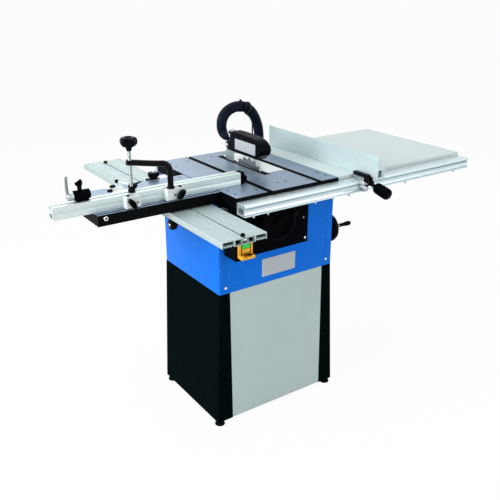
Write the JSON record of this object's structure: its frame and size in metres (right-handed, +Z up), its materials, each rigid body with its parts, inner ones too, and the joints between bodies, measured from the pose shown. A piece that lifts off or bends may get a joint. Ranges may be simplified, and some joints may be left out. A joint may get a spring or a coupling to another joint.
{
  "type": "panel saw",
  "caption": "Cabinet saw with a sliding carriage, cross table and mitre fence, rip fence, extension table, blade guard with dust hose, and a tilting, rising blade.",
  "frame": {"origin": "on the floor under the middle of the overall box", "axes": "+Z up, +X to the operator's right along the front rail, +Y along the blade, away from the operator"},
  "size_m": [1.555, 0.988, 1.053],
  "materials": {
    "base_left_panel": "satin black paint",
    "base_right_panel": "satin black paint",
    "base_front_panel": "satin light grey paint",
    "base_rear_panel": "satin light grey paint",
    "foot_front_left": "matte",
    "foot_front_right": "matte",
    "foot_rear_left": "matte",
    "foot_rear_right": "matte",
    "housing": "satin blue paint",
    "control_panel": "matte",
    "main_table": "machined top, black painted edges",
    "table_insert": "satin",
    "extension_table": "satin pale grey paint",
    "front_rail": "satin anodised",
    "rear_rail": "satin anodised",
    "carriage_guide": "oiled",
    "switch_box": "matte",
    "switch_frame": "gloss",
    "dust_outlet": "matte",
    "dust_hose": "ribbed",
    "hose_rod": "black wire",
    "trunnion": "as cast",
    "start_button": "gloss",
    "stop_button": "gloss",
    "carriage_lock_knob": "matte",
    "carriage_beam": "satin anodised",
    "end_stop_front": "matte",
    "end_stop_rear": "matte",
    "cross_table": "machined top, black painted edges",
    "cross_clamp_knob": "matte",
    "cross_fence": "satin anodised",
    "pivot_bracket": "satin white paint",
    "mitre_plate": "satin white paint",
    "post_bracket": "satin white paint",
    "fence_end_block": "matte",
    "pivot_knob": "matte",
    "post_knob": "matte",
    "mitre_lever": "matte",
    "stop_block": "matte",
    "stop_knob": "matte",
    "stop_paddle": "satin",
    "hold_down_arm": "black paint",
    "hold_down_spindle": "plated",
    "hold_down_knob": "matte",
    "rip_fence": "satin anodised",
    "fence_carrier": "black paint",
    "fence_lever": "matte",
    "tilt_frame": "as cast",
    "lift_carriage": "as cast",
    "motor": "cast housing",
    "riving_knife": "ground",
    "drive_belt": "matte",
    "hose_cuff": "ribbed",
    "arbor_shaft": "turned",
    "saw_blade": "ground",
    "motor_pulley": "turned",
    "guard_hood": "matte",
    "height_wheel": "matte",
    "tilt_wheel": "matte",
    "tilt_grip": "matte"
  },
  "bodies": {
    "saw": {"base_left_panel": "base_left_panel", "base_right_panel": "base_right_panel", "base_front_panel": "base_front_panel", "base_rear_panel": "base_rear_panel", "foot_front_left": "foot_front_left", "foot_front_right": "foot_front_right", "foot_rear_left": "foot_rear_left", "foot_rear_right": "foot_rear_right", "housing": "housing", "control_panel": "control_panel", "main_table": "main_table", "table_insert": "table_insert", "extension_table": "extension_table", "front_rail": "front_rail", "rear_rail": "rear_rail", "carriage_guide": "carriage_guide", "switch_box": "switch_box", "switch_frame": "switch_frame", "dust_outlet": "dust_outlet", "dust_hose": "dust_hose", "hose_rod": "hose_rod", "trunnion": "trunnion"},
    "start_button": {"start_button": "start_button"},
    "stop_button": {"stop_button": "stop_button"},
    "carriage_lock": {"carriage_lock_knob": "carriage_lock_knob"},
    "carriage": {"carriage_beam": "carriage_beam", "end_stop_front": "end_stop_front", "end_stop_rear": "end_stop_rear"},
    "cross_table": {"cross_table": "cross_table"},
    "cross_clamp": {"cross_clamp_knob": "cross_clamp_knob"},
    "cross_fence": {"cross_fence": "cross_fence", "pivot_bracket": "pivot_bracket", "mitre_plate": "mitre_plate", "post_bracket": "post_bracket", "fence_end_block": "fence_end_block"},
    "pivot_knob": {"pivot_knob": "pivot_knob"},
    "post_knob": {"post_knob": "post_knob"},
    "mitre_lever": {"mitre_lever": "mitre_lever"},
    "flip_stop": {"stop_block": "stop_block"},
    "stop_knob": {"stop_knob": "stop_knob"},
    "stop_paddle": {"stop_paddle": "stop_paddle"},
    "hold_down_arm": {"hold_down_arm": "hold_down_arm"},
    "hold_down_spindle": {"hold_down_spindle": "hold_down_spindle"},
    "hold_down_knob": {"hold_down_knob": "hold_down_knob"},
    "rip_fence": {"rip_fence": "rip_fence", "fence_carrier": "fence_carrier"},
    "fence_lever": {"fence_lever": "fence_lever"},
    "tilt_unit": {"tilt_frame": "tilt_frame"},
    "lift_unit": {"lift_carriage": "lift_carriage", "motor": "motor", "riving_knife": "riving_knife", "drive_belt": "drive_belt", "hose_cuff": "hose_cuff"},
    "arbor": {"arbor_shaft": "arbor_shaft", "saw_blade": "saw_blade"},
    "motor_pulley": {"motor_pulley": "motor_pulley"},
    "guard": {"guard_hood": "guard_hood"},
    "height_wheel": {"height_wheel": "height_wheel"},
    "tilt_wheel": {"tilt_wheel": "tilt_wheel"},
    "tilt_grip": {"tilt_grip": "tilt_grip"}
  },
  "joints": [
    {"name": "carriage_lock_turn", "type": "hinge", "parent": "saw", "child": "carriage_lock", "pos_m": [-0.3895, -0.187, 0.772], "axis": [-1, 0, 0], "range_deg": [-90, 90]},
    {"name": "start_press", "type": "slide", "parent": "saw", "child": "start_button", "axis": [0, 1, 0], "range_m": [0, 0.004], "stiffness_N_per_m": 500, "springref_m": -0.001},
    {"name": "stop_press", "type": "slide", "parent": "saw", "child": "stop_button", "axis": [0, 1, 0], "range_m": [0, 0.004], "stiffness_N_per_m": 500, "springref_m": -0.001},
    {"name": "carriage_slide", "type": "slide", "parent": "saw", "child": "carriage", "axis": [0, 1, 0], "range_m": [-0.32, 0.23]},
    {"name": "cross_table_slide", "type": "slide", "parent": "carriage", "child": "cross_table", "axis": [0, 1, 0], "range_m": [-0.25, 0.375]},
    {"name": "cross_clamp_turn", "type": "hinge", "parent": "cross_table", "child": "cross_clamp", "pos_m": [-0.3555, 0.054, 0.8483], "axis": [0, 0, 1], "range_deg": [-90, 90]},
    {"name": "mitre_swivel", "type": "hinge", "parent": "cross_table", "child": "cross_fence", "pos_m": [-0.5445, -0.1885, 0.85], "axis": [0, 0, 1], "range_deg": [-45, 30]},
    {"name": "pivot_knob_turn", "type": "hinge", "parent": "cross_fence", "child": "pivot_knob", "pos_m": [-0.5525, -0.1978, 0.8685], "axis": [0, -1, 0], "range_deg": [-90, 90]},
    {"name": "post_knob_turn", "type": "hinge", "parent": "cross_fence", "child": "post_knob", "pos_m": [-0.3925, -0.1978, 0.8685], "axis": [0, -1, 0], "range_deg": [-90, 90]},
    {"name": "mitre_lever_turn", "type": "hinge", "parent": "cross_fence", "child": "mitre_lever", "pos_m": [-0.5085, -0.116, 0.8548], "axis": [0, 0, 1], "range_deg": [-25, 55]},
    {"name": "stop_slide", "type": "slide", "parent": "cross_fence", "child": "flip_stop", "axis": [1, 0, 0], "range_m": [-0.04, 0.1]},
    {"name": "stop_knob_turn", "type": "hinge", "parent": "flip_stop", "child": "stop_knob", "pos_m": [-0.6875, -0.155, 0.9211], "axis": [0, 0, 1], "range_deg": [-90, 90]},
    {"name": "stop_flip", "type": "hinge", "parent": "flip_stop", "child": "stop_paddle", "pos_m": [-0.708, -0.155, 0.907], "axis": [1, 0, 0], "range_deg": [0, 105]},
    {"name": "hold_down_swivel", "type": "hinge", "parent": "cross_fence", "child": "hold_down_arm", "pos_m": [-0.4165, -0.186, 0.8885], "axis": [0, 0, -1], "range_deg": [0, 130]},
    {"name": "spindle_feed", "type": "slide", "parent": "hold_down_arm", "child": "hold_down_spindle", "axis": [0, 0, 1], "range_m": [0, 0.045]},
    {"name": "hold_down_turn", "type": "hinge", "parent": "hold_down_spindle", "child": "hold_down_knob", "pos_m": [-0.5325, -0.161, 1.012], "axis": [0, 0, 1], "range_deg": [0, 1625]},
    {"name": "rip_fence_slide", "type": "slide", "parent": "saw", "child": "rip_fence", "axis": [1, 0, 0], "range_m": [-0.22, 0.48]},
    {"name": "fence_lever_swing", "type": "hinge", "parent": "rip_fence", "child": "fence_lever", "pos_m": [0.2395, -0.359, 0.834], "axis": [1, 0, 0], "range_deg": [0, 45]},
    {"name": "tilt_wheel_turn", "type": "hinge", "parent": "saw", "child": "tilt_wheel", "pos_m": [0.2065, -0.182, 0.628], "axis": [-1, 0, 0], "range_deg": [0, 2880]},
    {"name": "tilt_grip_spin", "type": "hinge", "parent": "tilt_wheel", "child": "tilt_grip", "pos_m": [0.229, -0.224, 0.6432], "axis": [1, 0, 0], "continuous": true},
    {"name": "tilt", "type": "hinge", "parent": "saw", "child": "tilt_unit", "pos_m": [-0.0075, -0.001, 0.85], "axis": [0, 1, 0], "range_deg": [0, 45], "deforming": ["dust_hose"]},
    {"name": "height_wheel_turn", "type": "hinge", "parent": "saw", "child": "height_wheel", "pos_m": [-0.0675, -0.247, 0.735], "axis": [0, 1, 0], "range_deg": [-1300, 1300]},
    {"name": "lift", "type": "slide", "parent": "tilt_unit", "child": "lift_unit", "axis": [0, 0, 1], "range_m": [-0.036, 0.036], "deforming": ["hose_cuff"]},
    {"name": "guard_pivot", "type": "hinge", "parent": "lift_unit", "child": "guard", "pos_m": [-0.0075, 0.106, 0.909], "axis": [-1, 0, 0], "range_deg": [0, 30]},
    {"name": "arbor_spin", "type": "hinge", "parent": "lift_unit", "child": "arbor", "pos_m": [-0.0075, -0.001, 0.7565], "axis": [1, 0, 0], "continuous": true},
    {"name": "motor_pulley_spin", "type": "hinge", "parent": "lift_unit", "child": "motor_pulley", "pos_m": [0.0375, -0.047, 0.6585], "axis": [1, 0, 0], "continuous": true}
  ],
  "couplings": [
    {"joint": "tilt", "follows": "tilt_wheel_turn", "ratio": 0.015625},
    {"joint": "height_wheel_turn", "follows": "lift", "rad_per_m": 628.32},
    {"joint": "hold_down_turn", "follows": "spindle_feed", "rad_per_m": 628.32},
    {"joint": "motor_pulley_spin", "follows": "arbor_spin", "ratio": 0.71429}
  ]
}
